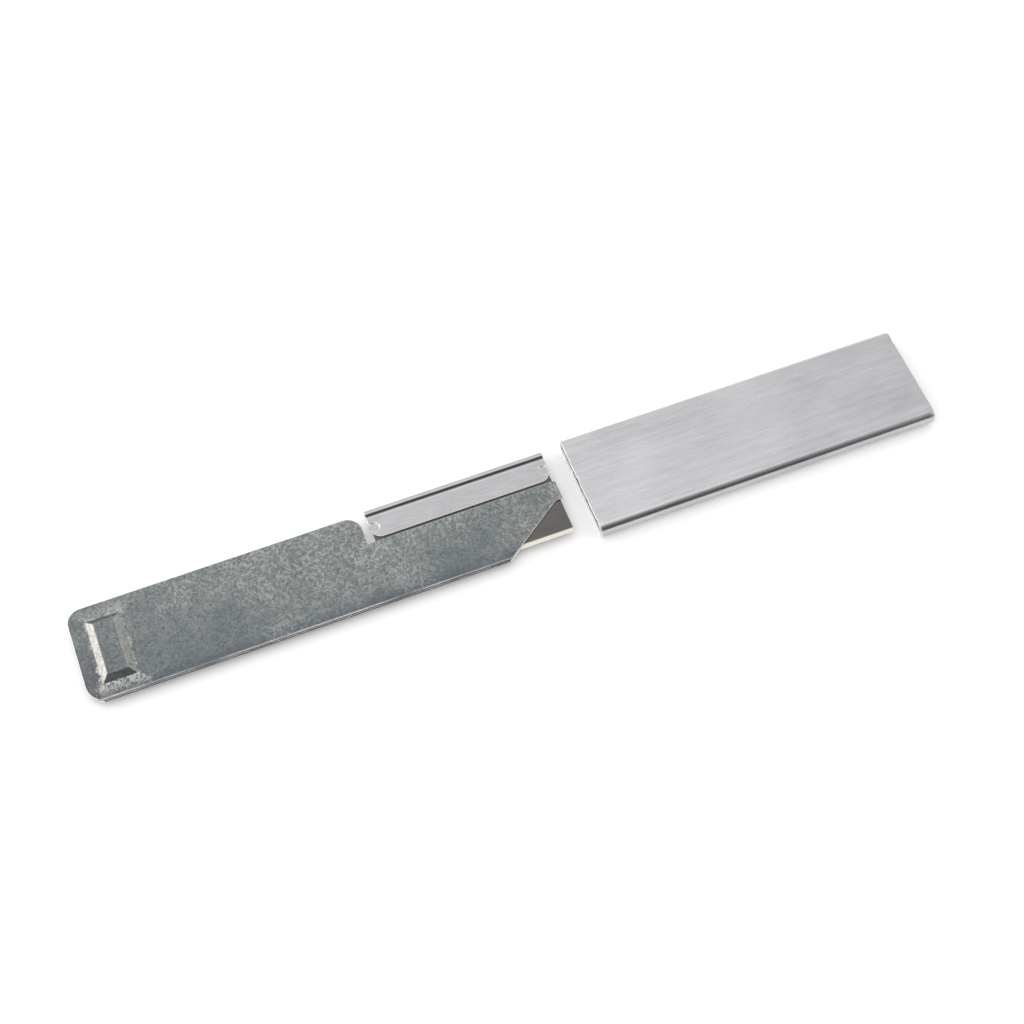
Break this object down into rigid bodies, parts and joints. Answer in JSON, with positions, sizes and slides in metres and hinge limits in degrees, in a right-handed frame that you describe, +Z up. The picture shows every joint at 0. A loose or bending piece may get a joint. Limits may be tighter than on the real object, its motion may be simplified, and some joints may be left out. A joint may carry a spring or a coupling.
{
  "type": "box cutter",
  "caption": "Flat box cutter: a folded steel carrier with a pressed thumb boss holds a single-edge blade and slides into an open-ended aluminium sleeve that is its handle and guard.",
  "frame": {"origin": "On the surface that the sleeve rests on, under the middle of the cutter as it lies drawn apart.", "axes": "+X along the cutter, from the carrier's rear end towards the blade's point and the sleeve. +Y from the cutting edge to the blade's spine. +Z up, out of the face with the thumb boss."},
  "size_m": [0.1784, 0.0228, 0.0038],
  "materials": {
    "galvanised_sheet": "galvanised, fine spangle, bright sheared edges",
    "blade_steel": "dark hardened steel with a bright ground bevel",
    "spine_steel": "bright rolled steel",
    "sleeve_aluminium": "brushed along its length"
  },
  "bodies": {
    "carrier": {"carrier": "galvanised_sheet"},
    "blade_unit": {"blade": "blade_steel", "blade_spine": "spine_steel"},
    "sleeve": {"sleeve": "sleeve_aluminium"}
  },
  "joints": [
    {"name": "sleeve_slide", "type": "slide", "parent": "carrier", "child": "sleeve", "axis": [1, 0, 0], "range_m": [-0.094, 0]},
    {"name": "blade_end_play", "type": "slide", "parent": "carrier", "child": "blade_unit", "axis": [1, 0, 0], "range_m": [-0.0014, 0]}
  ]
}
